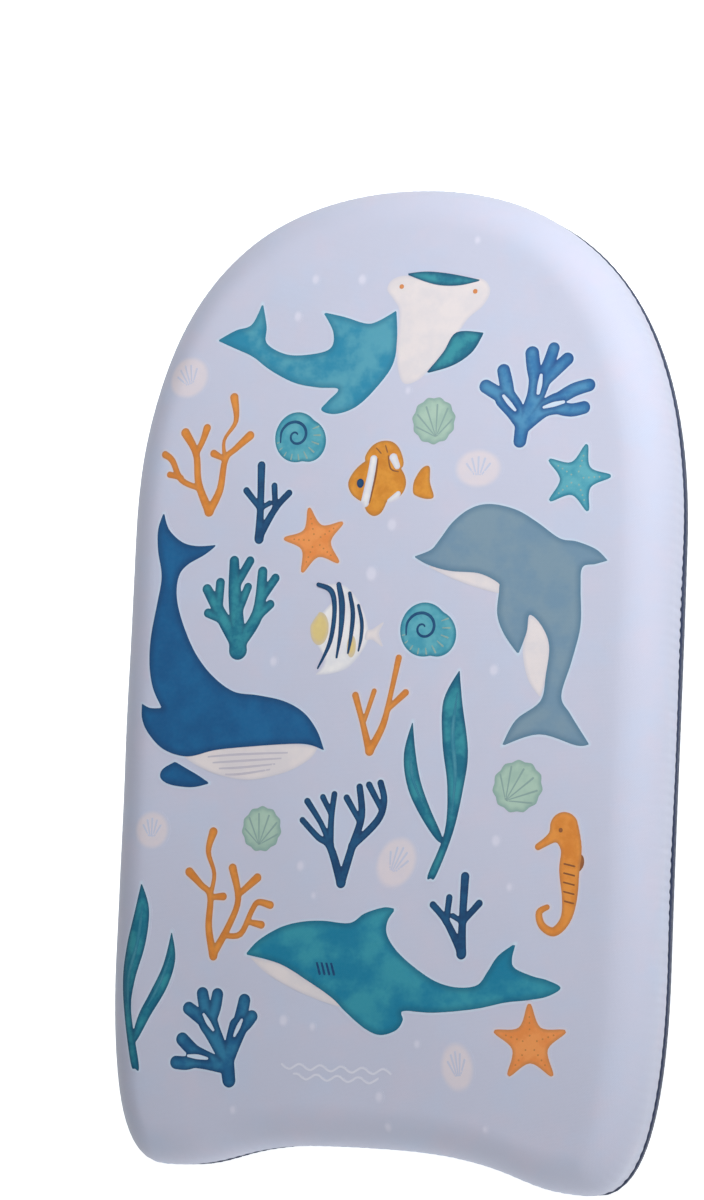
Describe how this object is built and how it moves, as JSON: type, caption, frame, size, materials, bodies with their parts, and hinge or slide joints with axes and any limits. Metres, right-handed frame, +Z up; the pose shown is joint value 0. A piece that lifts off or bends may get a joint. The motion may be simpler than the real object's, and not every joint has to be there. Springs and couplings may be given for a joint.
{
  "type": "kickboard float",
  "caption": "Flat foam kickboard with a rounded nose, soft rounded rails and a lobed tail, in a printed fabric cover with a piped seam and a navy underside.",
  "frame": {"origin": "on the surface the board lies on, under the middle of its outline", "axes": "+Z up, out of the deck; +Y along the board towards the rounded nose; X across its width"},
  "size_m": [0.263, 0.451, 0.042],
  "materials": {
    "bead_foam": "white expanded bead foam",
    "padding_foam": "closed-cell foam sheet",
    "printed_cover": "fine polyester weave, pale periwinkle with a printed pattern of sea life",
    "navy_underside": "navy coated polyester weave",
    "navy_piping": "navy rolled piping tape",
    "pale_thread": "pale polyester sewing thread"
  },
  "bodies": {
    "root": {"foam_core": "bead_foam", "deck_padding": "padding_foam", "deck_cover": "printed_cover", "base_cover": "navy_underside", "seam_piping": "navy_piping", "seam_stitching": "pale_thread"}
  },
  "joints": []
}
